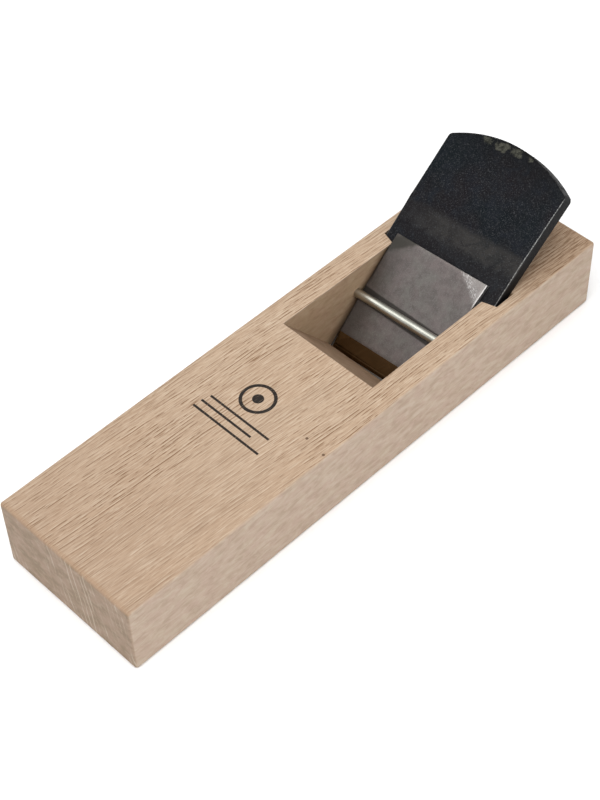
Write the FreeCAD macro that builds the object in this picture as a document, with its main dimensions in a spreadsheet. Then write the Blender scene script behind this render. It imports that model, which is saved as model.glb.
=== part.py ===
import FreeCAD, Part
import math
import os
import re
import Sketcher

# Japanese hand plane: an oak body with a slanted throat, a laminated blade wedged on the bed,
# and a laminated chipbreaker held on the blade's face by a steel pin through the cheeks.
# Frame: origin at the centre of the sole, +X along the body towards the blade's head, +Z up.
# Millimetres and degrees.

DIMENSIONS = [
    # body
    ("block_length", 240.0, "body along X"),
    ("block_width", 67.0, "body along Y"),
    ("block_height", 32.5, "sole to top face"),
    ("arris_round", 1.2, "rounding of the outer edges"),
    ("throat_width", 45.8, "between the cheeks"),
    ("throat_rim_x", 6.7, "front rim of the throat on the top face"),
    ("front_wall_angle", 51.2, "slope of the throat's front wall"),
    ("lip_height", 3.4, "upright front lip of the mouth"),
    ("bed_angle", 38.66, "slope of the bed, eight in ten"),
    ("bed_rim_x", 77.7, "rear rim of the bed on the top face"),
    ("groove_half_top", 28.8, "half width over the blade grooves at the top face"),
    ("groove_half_sole", 27.9, "half width over the blade grooves at the sole"),
    ("groove_gap", 0.15, "groove's front face to the blade's face, along X"),
    ("groove_lean_top", 2.7, "groove's front face, lean towards the throat at the top face"),
    ("groove_lean_sole", 0.5, "the same at the sole"),
    ("groove_inner", 20.0, "inner side of the groove's cut, inside the throat"),
    # blade
    ("edge_x", 31.2, "cutting edge at rest"),
    ("edge_z", 0.35, "cutting edge at rest, drawn back above the sole"),
    ("face_angle", 41.14, "slope of the blade's face, steeper than the bed"),
    ("blade_length", 103.2, "edge to the middle of the head, along the face"),
    ("blade_half_tip", 27.5, "half width at the lower corners"),
    ("blade_half_head", 28.1, "half width at the head"),
    ("edge_half", 22.3, "half length of the cutting edge"),
    ("ear_cut", 5.5, "how far the cut corners reach up the sides"),
    ("head_radius", 55.0, "arc of the head"),
    ("head_skew", 0.9, "how much higher the head's arc ends on the right, and lower on the left"),
    ("bevel_angle", 28.0, "cutting bevel"),
    ("bed_gap", 0.04, "back of the blade to the bed"),
    ("bend_at", 66.5, "where the face turns parallel to the bed, from the edge"),
    ("steel_thick", 1.1, "hard layer of the blade"),
    ("steel_taper", 9.0, "length over which the hard layer thins out"),
    ("hollow_depth", 0.35, "hollow ground in the blade's face"),
    ("hollow_start", 3.0, "flat left along the edge"),
    ("hollow_end", 47.0, "top of the hollow, from the edge"),
    ("hollow_half", 23.0, "half width of the hollow"),
    ("hollow_radius", 38.0, "arc of the hollow's upper end"),
    # chipbreaker
    ("chip_back", 1.4, "chipbreaker's edge behind the cutting edge"),
    ("chip_skew", 2.5, "chipbreaker's edge out of square with the blade"),
    ("chip_lean", 1.8, "top's middle to the right of the edge's, which keeps the sides square"),
    ("chip_tilt", 1.335, "rise of the plate from the blade's face"),
    ("chip_gap", 0.05, "chipbreaker's edge to the blade's face"),
    ("chip_length", 51.2, "edge to top"),
    ("chip_half_tip", 22.0, "half width at the edge"),
    ("chip_half_top", 22.2, "half width at the top"),
    ("chip_thick", 2.1, "plate"),
    ("chip_nose", 0.35, "blunt edge"),
    ("chip_bevel", 7.4, "length of the polished bevel"),
    ("chip_steel_thick", 0.7, "hard layer of the chipbreaker"),
    ("chip_steel_length", 17.0, "hard layer, from the edge"),
    ("chip_steel_taper", 5.0, "length over which the hard layer thins out"),
    ("corner_width", 11.5, "bent corner along the top edge"),
    ("corner_depth", 8.6, "bent corner along the side"),
    ("corner_bend", 9.5, "angle of the bent corners"),
    ("spare", 12.0, "stock outside an outline, cut away by it"),
    # pin
    ("pin_x", 46.95, "pin's axis"),
    ("pin_z", 20.42, "pin's axis"),
    ("pin_skew", 2.4, "pin out of square, on the plane of the blade's face"),
    ("pin_radius", 1.9, "pin"),
    ("pin_blind", 7.0, "depth of the pin in the blind cheek"),
    ("pin_sunk", 0.6, "pin's free end below the other cheek's outer face"),
    ("pin_grip", 0.01, "how much smaller the hole's radius is"),
    ("pin_chamfer", 0.4, "chamfer of the pin's ends"),
]

ALIASES = {alias for alias, _, _ in DIMENSIONS}

doc = FreeCAD.newDocument("HandPlane")
sheet = doc.addObject("Spreadsheet::Sheet", "Dims")
for row, (alias, value, note) in enumerate(DIMENSIONS, start=1):
    sheet.set("A%d" % row, note)
    sheet.set("B%d" % row, str(value))
    sheet.setAlias("B%d" % row, alias)
doc.recompute()


def dims(expression):
    """An expression on the sheet: every alias gets the sheet's name in front."""
    return re.sub(r"[a-z]\w*", lambda word: ("Dims." if word[0] in ALIASES else "") + word[0], expression)


# Lengths worked out from the sheet, as expressions.
WEDGE = "(face_angle - bed_angle)"
BED_FOOT_X = "(bed_rim_x - block_height / tan(bed_angle))"
LIP_X = "(throat_rim_x + (block_height - lip_height) / tan(front_wall_angle))"
FACE_FOOT_X = "(edge_x - edge_z / tan(face_angle))"
FACE_RIM_X = "(%s + block_height / tan(face_angle))" % FACE_FOOT_X
TIP_THICK = (
    "(((%s - edge_x) * tan(bed_angle) + edge_z) / (sin(face_angle) * tan(bed_angle) + cos(face_angle))"
    " - bed_gap / cos%s)" % (BED_FOOT_X, WEDGE)
)
HEEL_X = "(%s / (tan(bevel_angle) - tan%s))" % (TIP_THICK, WEDGE)
HEAD_SAG = "(head_radius - sqrt(head_radius^2 - blade_half_head^2))"
HOLLOW_SIDE_X = "(hollow_end - hollow_radius + sqrt(hollow_radius^2 - hollow_half^2))"

ORIGIN = (-1, 1)
AXIS_OF = {"X": -2, "Y": -1}
LEFT, RIGHT = "left", "right"


def moved(across="0", along="0", up="0", axis="0; 0; 1", angle="0"):
    """A placement, as an expression."""
    return "placement(vector(%s; %s; %s); vector(%s); %s)" % (across, along, up, axis, angle)


ON_FACE = moved("edge_x", "0", "edge_z", "0; 1; 0", "-face_angle")
ON_CHIP = " * ".join([
    ON_FACE,
    moved("chip_back", "0", "chip_gap", angle="chip_skew"),
    moved(axis="0; 1; 0", angle="-chip_tilt"),
])
PIN_END = " * ".join([
    moved("pin_x", "0", "pin_z", "0; 1; 0", "-face_angle"),
    moved(angle="pin_skew"),
    moved("0", "-(throat_width / 2 + pin_blind)", "0", "1; 0; 0", "-90"),
])


def new_body(label, placement=None):
    body = doc.addObject("PartDesign::Body", label)
    body.Label = label
    if placement:
        body.setExpression("Placement", dims(placement))
    return body


def new_sketch(body, name, role, offset=None):
    sketch = body.newObject("Sketcher::SketchObject", name)
    plane = [feature for feature in body.Origin.OriginFeatures if feature.Role == role][0]
    sketch.AttachmentSupport = [(plane, "")]
    sketch.MapMode = "FlatFace"
    if offset:
        sketch.setExpression("AttachmentOffset", dims(offset))
    return sketch


def number(sketch, expression):
    return float(sketch.evalExpression(dims(expression)))


def hold(sketch, kind, picked, expression):
    """A sized constraint that follows an expression."""
    constraint = Sketcher.Constraint(kind, *picked, number(sketch, expression))
    index = sketch.addConstraint(constraint)
    sketch.setExpression("Constraints[%d]" % index, dims(expression))


def hold_point(sketch, curve, end, across, up):
    """Hold one end of a curve at a place given by two expressions."""
    for direction, expression in (("X", across), ("Y", up)):
        if expression == "0":
            sketch.addConstraint(Sketcher.Constraint("PointOnObject", curve, end, AXIS_OF[direction]))
        else:
            hold(sketch, "Distance" + direction, (*ORIGIN, curve, end), expression)


def arc_between(start, end, radius):
    """An anticlockwise arc."""
    half = (end - start) / 2
    inward = FreeCAD.Vector(-half.y, half.x, 0).normalize()
    centre = start + half + inward * math.sqrt(radius**2 - half.Length**2)
    angles = [math.atan2(place.y - centre.y, place.x - centre.x) for place in (start, end)]
    return Part.ArcOfCircle(Part.Circle(centre, FreeCAD.Vector(0, 0, 1), radius), *angles)


def draw_outline(sketch, corners, arcs=None):
    """A closed anticlockwise outline. arcs gives the radius of the arc that starts at a corner."""
    arcs = arcs or {}
    places = [FreeCAD.Vector(number(sketch, across), number(sketch, up), 0) for across, up in corners]
    first = sketch.GeometryCount
    for corner, start in enumerate(places):
        end = places[(corner + 1) % len(places)]
        if corner in arcs:
            sketch.addGeometry(arc_between(start, end, number(sketch, arcs[corner])))
        else:
            sketch.addGeometry(Part.LineSegment(start, end))
    for corner, (across, up) in enumerate(corners):
        following = first + (corner + 1) % len(corners)
        sketch.addConstraint(Sketcher.Constraint("Coincident", first + corner, 2, following, 1))
        hold_point(sketch, first + corner, 1, across, up)
    for corner, radius in arcs.items():
        hold(sketch, "Radius", (first + corner,), radius)


def draw_circle(sketch, across, up, radius):
    circle = Part.Circle(FreeCAD.Vector(0, 0, 0), FreeCAD.Vector(0, 0, 1), number(sketch, radius))
    sketch.addGeometry(circle)
    hold(sketch, "Radius", (0,), radius)
    hold_point(sketch, 0, 3, across, up)


def mirrored(lower):
    """Corners below the X axis, then their mirror images in reverse, so that they close."""
    return [(across, "-" + up) for across, up in lower] + list(reversed(lower))


def pad(body, sketch, length, side="Symmetric", reverse=False):
    feature = body.newObject("PartDesign::Pad", sketch.Name + "Pad")
    feature.Profile = sketch
    feature.SideType = side
    feature.Reversed = reverse
    feature.setExpression("Length", dims(length))
    doc.recompute()
    return feature


def check_cut(before, feature):
    doc.recompute()
    if feature.Shape.isNull() or feature.Shape.Volume > before.Shape.Volume - 0.1:
        raise RuntimeError(feature.Name + " cuts nothing")


def pocket(body, sketch, length=None, side="Symmetric", reverse=False):
    """Cut to a length, or through everything."""
    before = body.Tip
    feature = body.newObject("PartDesign::Pocket", sketch.Name + "Pocket")
    feature.Profile = sketch
    feature.SideType = side
    feature.Reversed = reverse
    if length:
        feature.setExpression("Length", dims(length))
    else:
        feature.Type = "ThroughAll"
    check_cut(before, feature)
    return feature


def keep_inside(body, name, corners, arcs=None):
    """Cut away all that lies outside an outline in the XY plane."""
    sketch = new_sketch(body, name, "XY_Plane")
    beyond = "(blade_half_head + 2 * spare)"
    draw_outline(sketch, mirrored([("-spare", beyond), ("blade_length + 2 * spare", beyond)]))
    draw_outline(sketch, corners, arcs)
    pocket(body, sketch)


# The wooden body

def cut_grooves(body):
    """The slots in the cheeks that hold the blade's sides: a loft from the sole to the top face."""
    sections = []
    levels = [
        ("Sole", "0", FACE_FOOT_X, BED_FOOT_X),
        ("Top", "block_height", FACE_RIM_X, "bed_rim_x"),
    ]
    for level, height, face_x, bed_x in levels:
        end = level.lower()
        half = "groove_half_" + end
        front = "(%s - groove_gap)" % face_x
        lean = "(%s - groove_lean_%s)" % (front, end)
        section = new_sketch(body, "Groove" + level, "XY_Plane", moved(up=height))
        draw_outline(section, [(lean, "groove_inner"), (bed_x, "groove_inner"), (bed_x, half), (front, half)])
        sections.append(section)
    before = body.Tip
    loft = body.newObject("PartDesign::SubtractiveLoft", "Groove")
    loft.Profile = sections[0]
    loft.Sections = sections[1:]
    loft.Ruled = True
    check_cut(before, loft)

    other = body.newObject("PartDesign::Mirrored", "OtherGroove")
    other.Originals = [loft]
    plane = [feature for feature in body.Origin.OriginFeatures if feature.Role == "XZ_Plane"][0]
    other.MirrorPlane = (plane, [""])
    body.Tip = other
    check_cut(loft, other)


def make_body_block():
    body = new_body("body_block")
    blank = new_sketch(body, "Blank", "XY_Plane")
    draw_outline(blank, mirrored([
        ("-block_length / 2", "block_width / 2"),
        ("block_length / 2", "block_width / 2"),
    ]))
    solid = pad(body, blank, "block_height", "One side")

    arrises = body.newObject("PartDesign::Fillet", "Arrises")
    arrises.Base = (solid, ["Edge%d" % (edge + 1) for edge in range(len(solid.Shape.Edges))])
    arrises.setExpression("Radius", dims("arris_round"))
    doc.recompute()

    throat = new_sketch(body, "Throat", "XZ_Plane")
    draw_outline(throat, [
        ("throat_rim_x", "block_height"),
        (LIP_X, "lip_height"),
        (LIP_X, "0"),
        (BED_FOOT_X, "0"),
        ("bed_rim_x", "block_height"),
    ])
    pocket(body, throat, "throat_width")
    cut_grooves(body)

    hole = new_sketch(body, "PinHole", "XY_Plane", PIN_END)
    draw_circle(hole, "0", "0", "pin_radius - pin_grip")
    pocket(body, hole, side="One side", reverse=True)


def make_pressure_pin():
    """Driven in through one cheek, blind in the other."""
    body = new_body("pressure_pin", PIN_END)
    section = new_sketch(body, "PinSection", "XY_Plane")
    draw_circle(section, "0", "0", "pin_radius")
    solid = pad(body, section, "throat_width / 2 + pin_blind + block_width / 2 - pin_sunk", "One side")
    ends = body.newObject("PartDesign::Chamfer", "PinEnds")
    rims = [edge for edge, curve in enumerate(solid.Shape.Edges) if curve.isClosed()]
    ends.Base = (solid, ["Edge%d" % (edge + 1) for edge in rims])
    ends.setExpression("Size", dims("pin_chamfer"))


# The blade: both layers share one outline

def cut_blade_outline(body):
    keep_inside(body, body.Name + "_outline", [
        ("0", "-edge_half"),
        ("ear_cut", "-blade_half_tip"),
        ("blade_length - %s + head_skew" % HEAD_SAG, "-blade_half_head"),
        ("blade_length - %s - head_skew" % HEAD_SAG, "blade_half_head"),
        ("ear_cut", "blade_half_tip"),
        ("0", "edge_half"),
    ], {2: "head_radius"})


def blade_layer(label, corners):
    body = new_body(label, ON_FACE)
    profile = new_sketch(body, label + "_profile", "XZ_Plane")
    draw_outline(profile, corners)
    pad(body, profile, "2 * blade_half_head")
    cut_blade_outline(body)
    return body


WELD = ("steel_thick / tan(bevel_angle)", "-steel_thick")
STEEL_THINS = ("bend_at - steel_taper", "-steel_thick")
STEEL_TOP = ("bend_at", "0")


def make_blade_iron():
    blade_layer("blade_iron", [
        WELD,
        (HEEL_X, "-%s * tan(bevel_angle)" % HEEL_X),
        ("blade_length + spare", "-%s - (blade_length + spare) * tan%s" % (TIP_THICK, WEDGE)),
        ("blade_length + spare", "-(blade_length + spare - bend_at) * tan%s" % WEDGE),
        STEEL_TOP,
        STEEL_THINS,
    ])


def make_blade_steel():
    body = blade_layer("blade_steel", [("0", "0"), WELD, STEEL_THINS, STEEL_TOP])
    hollow = new_sketch(body, "Hollow", "XY_Plane")
    draw_outline(hollow, mirrored([
        ("hollow_start", "hollow_half"),
        (HOLLOW_SIDE_X, "hollow_half"),
    ]), {1: "hollow_radius"})
    pocket(body, hollow, "hollow_depth", "One side")


# The chipbreaker: both layers share one outline

def cut_chip_outline(body):
    keep_inside(body, body.Name + "_outline", [
        ("0", "-chip_half_tip"),
        ("chip_length", "-chip_half_top - chip_lean"),
        ("chip_length", "chip_half_top - chip_lean"),
        ("0", "chip_half_tip"),
    ])


def bend_corner(body, side):
    """Cut one upper corner off along its fold and put it back bent down to the blade's face."""
    slant = "atan(corner_width / corner_depth)"
    if side == LEFT:
        name = "Left"
        on_fold = moved("chip_length - corner_depth", "chip_half_top - chip_lean", angle="-" + slant)
    else:
        name = "Right"
        fold_top = "corner_width - chip_half_top - chip_lean"
        on_fold = moved("chip_length", fold_top, angle=slant + " + 180 deg")
    fold_length = "sqrt(corner_width^2 + corner_depth^2)"
    strip = [
        ("-spare", "0"),
        (fold_length + " + spare", "0"),
        (fold_length + " + spare", "spare"),
        ("-spare", "spare"),
    ]
    cut = new_sketch(body, name + "Corner", "XY_Plane", on_fold)
    draw_outline(cut, strip)
    pocket(body, cut)
    bent = " * ".join([on_fold, moved(up="chip_thick", axis="1; 0; 0", angle="-corner_bend")])
    corner = new_sketch(body, name + "Bent", "XY_Plane", bent)
    draw_outline(corner, strip)
    pad(body, corner, "chip_thick", "One side", reverse=True)


def chip_layer(label, corners):
    body = new_body(label, ON_CHIP)
    profile = new_sketch(body, label + "_profile", "XZ_Plane")
    draw_outline(profile, corners)
    pad(body, profile, "2 * blade_half_head")
    return body


CHIP_WELD = ("(chip_steel_thick - chip_nose) * chip_bevel / (chip_thick - chip_nose)", "chip_steel_thick")
CHIP_STEEL_THINS = ("chip_steel_length - chip_steel_taper", "chip_steel_thick")
CHIP_STEEL_TOP = ("chip_steel_length", "0")


def make_chipbreaker_iron():
    body = chip_layer("chipbreaker_iron", [
        CHIP_WELD,
        CHIP_STEEL_THINS,
        CHIP_STEEL_TOP,
        ("chip_length + spare", "0"),
        ("chip_length + spare", "chip_thick"),
        ("chip_bevel", "chip_thick"),
    ])
    for side in (LEFT, RIGHT):
        bend_corner(body, side)
    cut_chip_outline(body)


def make_chipbreaker_steel():
    body = chip_layer("chipbreaker_steel", [
        ("0", "0"),
        CHIP_STEEL_TOP,
        CHIP_STEEL_THINS,
        CHIP_WELD,
        ("0", "chip_nose"),
    ])
    cut_chip_outline(body)


make_body_block()
make_pressure_pin()
make_blade_iron()
make_blade_steel()
make_chipbreaker_iron()
make_chipbreaker_steel()
doc.recompute()

for feature in doc.Objects:
    if {"Invalid", "Error"} & set(feature.State):
        raise RuntimeError("%s is %s" % (feature.Name, feature.State))

os.makedirs("parts", exist_ok=True)
for body in doc.findObjects("PartDesign::Body"):
    shape = body.Shape
    if shape.isNull() or not shape.isValid() or len(shape.Solids) != 1:
        raise RuntimeError(body.Label + " isn't one valid solid")
    shape.exportStep("parts/%s.step" % body.Label)
    print("%-20s %9.1f mm3" % (body.Label, shape.Volume))
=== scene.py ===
import math

import bmesh
import bpy
from mathutils import Matrix, Vector, noise


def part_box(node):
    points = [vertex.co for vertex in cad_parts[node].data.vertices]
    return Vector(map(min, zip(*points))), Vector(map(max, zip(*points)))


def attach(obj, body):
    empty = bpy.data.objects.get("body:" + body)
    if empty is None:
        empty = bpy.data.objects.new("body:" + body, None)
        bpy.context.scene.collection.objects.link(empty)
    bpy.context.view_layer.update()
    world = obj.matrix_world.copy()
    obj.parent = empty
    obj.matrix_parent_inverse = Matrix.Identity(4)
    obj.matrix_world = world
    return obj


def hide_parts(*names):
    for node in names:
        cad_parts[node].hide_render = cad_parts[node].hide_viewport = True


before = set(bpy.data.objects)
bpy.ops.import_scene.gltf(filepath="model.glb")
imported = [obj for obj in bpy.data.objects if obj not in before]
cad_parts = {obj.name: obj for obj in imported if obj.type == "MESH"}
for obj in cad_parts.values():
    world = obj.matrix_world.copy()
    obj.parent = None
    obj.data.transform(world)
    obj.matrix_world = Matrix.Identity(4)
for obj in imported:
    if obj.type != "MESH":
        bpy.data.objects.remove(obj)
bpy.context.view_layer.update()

# The pin's axis, as it is seen from the side, and its radius.
PIN_LOW, PIN_HIGH = (Vector(corner) * 1000.0 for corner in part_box("pressure_pin"))
PIN_PLACE = ((PIN_LOW.x + PIN_HIGH.x) / 2.0, (PIN_LOW.z + PIN_HIGH.z) / 2.0)
PIN_RADIUS = (PIN_HIGH.z - PIN_LOW.z) / 2.0

# ---------------------------------------------------------------------------
# Frames, in millimetres. The blade's face frame has X up the slope from the
# cutting edge, Y across and Z out of the face. The chipbreaker lies on it.
# ---------------------------------------------------------------------------

MM = 0.001
FACE_ANGLE = math.radians(41.14)
EDGE = Vector((31.2, 0.0, 0.35))
CHIP_EDGE = Vector((1.4, 0.0, 0.05))
CHIP_SKEW = math.radians(2.5)
CHIP_TILT = math.radians(1.335)

FACE = Matrix.Translation(EDGE) @ Matrix.Rotation(-FACE_ANGLE, 4, "Y")
CHIP = (
    FACE
    @ Matrix.Translation(CHIP_EDGE)
    @ Matrix.Rotation(CHIP_SKEW, 4, "Z")
    @ Matrix.Rotation(-CHIP_TILT, 4, "Y")
)
TO_METRES = Matrix.Scale(MM, 4)

# The blade. Past BEND_AT the face turns parallel to the bed. The two metals meet at WELD on the bevel.
WEDGE = math.radians(2.48)
BEVEL = math.radians(28.0)
EDGE_HALF, EAR_CUT, HALF_TIP, HALF_BEND = 22.3, 5.5, 27.5, 27.91
BEND_AT, BACK_TIP = 66.5, 3.9
STEEL_THICK, STEEL_THINS = 1.1, 57.5
WELD, WELD_HALF = 2.07, 24.26
HEAD_CENTRE, HEAD_RADIUS, HEAD_RIGHT, HEAD_LEFT = (48.23, -1.51), 55.0, (96.38, -28.1), (94.58, 28.1)
HEAD_CORNERS = (((95.2, -28.1), (96.0, -27.8)), ((94.1, 28.1),))
HOLLOW_START, HOLLOW_END, HOLLOW_HALF, HOLLOW_DEPTH = 3.0, 47.0, 23.0, 0.35
HOLLOW_CENTRE, HOLLOW_RADIUS, HOLLOW_SIDE = (9.0, 0.0), 38.0, 39.25

# The chipbreaker. Each fold is its start, its end and the side of it that is bent down.
CHIP_LENGTH, CHIP_THICK, CHIP_NOSE, CHIP_BEVEL = 51.2, 2.1, 0.35, 7.4
CHIP_HALF, CHIP_RIGHT_SPREAD, CHIP_LEFT_SPREAD = 22.0, 2.0, -1.6
CHIP_STEEL_THICK, CHIP_STEEL_THINS, CHIP_STEEL_LENGTH = 0.7, 12.0, 17.0
CHIP_WELD = 1.48
FOLDS = (((42.39, 20.68), (51.2, 8.9), -1.0), ((42.84, -23.67), (51.2, -12.5), 1.0))
CORNER_BEND, BEND_EASE = math.radians(9.5), 0.7


def ramp(low, high, value):
    return min(max((value - low) / (high - low), 0.0), 1.0)


def smooth(low, high, value):
    t = ramp(low, high, value)
    return t * t * (3.0 - 2.0 * t)


def lump(place, size, seed=0.0):
    """Smooth noise from -1 to 1."""
    return noise.noise(Vector(place) / size + Vector((seed, seed * 0.7, -seed)))


# ---------------------------------------------------------------------------
# Shader nodes
# ---------------------------------------------------------------------------

class Shader:
    """A material's node tree. Most methods add a node, take sockets or plain values, and return a socket."""

    def __init__(self, name):
        self.material = bpy.data.materials.new(name)
        self.material.use_nodes = True
        self.nodes = self.material.node_tree.nodes
        self.links = self.material.node_tree.links
        self.nodes.clear()
        output = self.nodes.new("ShaderNodeOutputMaterial")
        self.principled = self.nodes.new("ShaderNodeBsdfPrincipled")
        self.links.new(self.principled.outputs[0], output.inputs["Surface"])
        coordinates = self.nodes.new("ShaderNodeTexCoord")
        self.normal = coordinates.outputs["Normal"]
        self.place = self.vector("MULTIPLY", coordinates.outputs["Object"], (1000.0, 1000.0, 1000.0))

    def feed(self, socket, value):
        if isinstance(value, bpy.types.NodeSocket):
            self.links.new(value, socket)
        elif value is not None:
            if socket.type == "RGBA" and len(value) == 3:
                value = (*value, 1.0)
            socket.default_value = value

    def math(self, operation, *values):
        node = self.nodes.new("ShaderNodeMath")
        node.operation = operation
        for socket, value in zip(node.inputs, values):
            self.feed(socket, value)
        return node.outputs[0]

    def times(self, first, *others):
        for other in others:
            first = self.math("MULTIPLY", first, other)
        return first

    def vector(self, operation, *values):
        node = self.nodes.new("ShaderNodeVectorMath")
        node.operation = operation
        for socket, value in zip(node.inputs, values):
            self.feed(socket, value)
        return node.outputs["Value" if operation in ("DOT_PRODUCT", "LENGTH", "DISTANCE") else "Vector"]

    def split(self, vector):
        node = self.nodes.new("ShaderNodeSeparateXYZ")
        self.feed(node.inputs[0], vector)
        return node.outputs[0], node.outputs[1], node.outputs[2]

    def join(self, x, y, z):
        node = self.nodes.new("ShaderNodeCombineXYZ")
        for socket, value in zip(node.inputs, (x, y, z)):
            self.feed(socket, value)
        return node.outputs[0]

    def away(self, x, y, point):
        """Distance of (x, y) from a point."""
        offset = self.join(self.math("SUBTRACT", x, point[0]), self.math("SUBTRACT", y, point[1]), 0.0)
        return self.vector("LENGTH", offset)

    def spread(self, vector, x, y, z, shift=(0.0, 0.0, 0.0)):
        """The vector with each axis divided by a length in millimetres, so that a pattern is that long."""
        return self.vector("MULTIPLY_ADD", vector, (1.0 / x, 1.0 / y, 1.0 / z), shift)

    def noise(self, vector, detail=2.0, roughness=0.5, distortion=0.0, colour=False):
        node = self.nodes.new("ShaderNodeTexNoise")
        self.feed(node.inputs["Vector"], vector)
        node.inputs["Scale"].default_value = 1.0
        node.inputs["Detail"].default_value = detail
        node.inputs["Roughness"].default_value = roughness
        node.inputs["Distortion"].default_value = distortion
        return node.outputs["Color" if colour else "Fac"]

    def cells(self, vector):
        """Distance to the nearest of scattered points, and three random numbers for that point."""
        node = self.nodes.new("ShaderNodeTexVoronoi")
        self.feed(node.inputs["Vector"], vector)
        node.inputs["Scale"].default_value = 1.0
        return node.outputs["Distance"], self.split(node.outputs["Color"])

    def remap(self, value, low, high, to_low=0.0, to_high=1.0):
        node = self.nodes.new("ShaderNodeMapRange")
        node.interpolation_type = "SMOOTHSTEP"
        for socket, given in zip(node.inputs, (value, low, high, to_low, to_high)):
            self.feed(socket, given)
        return node.outputs[0]

    def mix(self, factor, first, second, blend="MIX"):
        node = self.nodes.new("ShaderNodeMix")
        node.data_type = "RGBA"
        node.blend_type = blend
        self.feed(node.inputs[0], factor)
        self.feed(node.inputs[6], first)
        self.feed(node.inputs[7], second)
        return node.outputs[2]

    def bump(self, height, depth, strength):
        """depth is how far the surface moves, in millimetres, as height goes from 0 to 1."""
        node = self.nodes.new("ShaderNodeBump")
        node.inputs["Distance"].default_value = depth * MM
        node.inputs["Strength"].default_value = strength
        self.feed(node.inputs["Height"], height)
        return node.outputs[0]

    def finish(self, **sockets):
        for name, value in sockets.items():
            self.feed(self.principled.inputs[name.replace("_", " ")], value)
        return self.material


def in_frame(shader, matrix):
    """The three coordinates of the shaded point in a frame of the rest pose, in millimetres."""
    origin = matrix.to_translation()
    offset = shader.vector("SUBTRACT", shader.place, tuple(origin))
    axes = [matrix.to_3x3().col[axis].normalized() for axis in range(3)]
    return [shader.vector("DOT_PRODUCT", offset, tuple(axis)) for axis in axes]


# ---------------------------------------------------------------------------
# Oak
# ---------------------------------------------------------------------------

# How far the grain and the rays lean, as slopes, and the annual rings about a pith below the sole.
GRAIN_TURN, RAY_LEAN, END_RAY_LEAN = 0.052, 0.10, -0.15
RING_WIDTH, PITH_ACROSS, PITH_DEPTH = 3.3, 9.0, 78.0
RAY_HEIGHT, WAVER_LENGTH = 22.0, 13.0

# Rays in rows have a pitch, a length of dash and a seed. Scattered ones have lengths on the three axes.
TOP_ROWS, FINE_ROWS, END_ROWS = (1.36, 6.2, 3.0), (0.94, 4.2, 21.0), (2.3, 15.0, 5.0)
SCATTER_LENGTHS, SCATTER_SIZES, SCATTER_STRENGTHS = (13.0, 0.8, 26.0), (0.14, 0.32), (0.3, 1.0)

# Each ink line is its place along the block and its two ends across.
INK_RING, INK_RING_RADIUS, INK_RING_EDGE, INK_DOT_EDGE = (-25.5, 3.0), 6.4, (0.75, 0.6), (2.3, 2.1)
INK_LINES, INK_LINE_EDGE = ((-36.2, 16.5, -13.5), (-39.8, 17.5, -8.0), (-43.4, 18.0, -15.5)), (0.56, 0.42)
PIN_KNOTS, KNOT_EDGE = ((-26.4, -22.6), (-27.7, -32.0)), (0.75, 0.4)

# Where a tint starts and where it is full: under the top face, inside the throat and at the arrises.
AT_TOP, BELOW_TOP, ABOVE_SOLE = (32.3, 32.45), (32.45, 31.8), (0.05, 0.5)
THROAT_FRONT, THROAT_BACK, THROAT_SIDE = (6.0, 6.4), (78.0, 77.6), (29.2, 28.9)
AT_KNOT, AT_ARRIS = (31.5, 32.0), (117.6, 118.9)

OAK_WARM, OAK_PALE = (0.400, 0.274, 0.182), (0.445, 0.340, 0.250)
STREAK, EARLY_WOOD, PORE = (0.36, 0.255, 0.178), (0.31, 0.215, 0.145), (0.20, 0.120, 0.070)
FIBRE_PALE, FIBRE_DARK, BESIDE_RAY = (0.55, 0.450, 0.350), (0.26, 0.170, 0.110), (0.58, 0.485, 0.380)
SIDE_WOOD, END_WOOD, PINKER = (0.425, 0.335, 0.255), (0.245, 0.184, 0.129), (0.44, 0.315, 0.255)
BLOTCH_PALE, BLOTCH_DARK = (0.52, 0.440, 0.355), (0.27, 0.195, 0.135)
TOP_RAY, END_RAY, SIDE_FLAKE = (0.165, 0.086, 0.040), (0.52, 0.450, 0.360), (0.52, 0.430, 0.350)
HANDLED, KNOT, INK = (0.32, 0.205, 0.125), (0.085, 0.045, 0.025), (0.006, 0.005, 0.005)

# These multiply the colour under them.
END_SHADE, SIDE_BACK = (0.92, 0.90, 0.86), (0.94, 0.94, 0.93)
# The top's front and back colours are painted shade and painted light along it.
TOP_FRONT_SHADE, TOP_BACK_LIGHT = (0.935, 0.915, 0.895), (1.075, 1.075, 1.06)
BACK_RIGHT, BACK_RIGHT_MARK = (0.90, 0.86, 0.82), (0.50, 0.40, 0.32)
# Inside the throat: a browner tint partly in painted shade, painted shade on the front wall, and painted
# shade beside the blade.
THROAT_SHADE, FRONT_WALL_SHADE, BLADE_GAP_SHADE = (0.96, 0.88, 0.74), (0.82, 0.74, 0.67), (0.26, 0.21, 0.15)


def scattered_rays(s, grain, lengths, sizes, strengths):
    """Scattered thin sheets, long along the grain and upright."""
    reach, (first, second, _) = s.cells(s.spread(grain, *lengths))
    size = s.math("MULTIPLY_ADD", first, sizes[1] - sizes[0], sizes[0])
    body = s.remap(s.math("DIVIDE", reach, size), 1.0, 0.55)
    return s.times(body, s.math("MULTIPLY_ADD", second, strengths[1] - strengths[0], strengths[0]))


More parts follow.
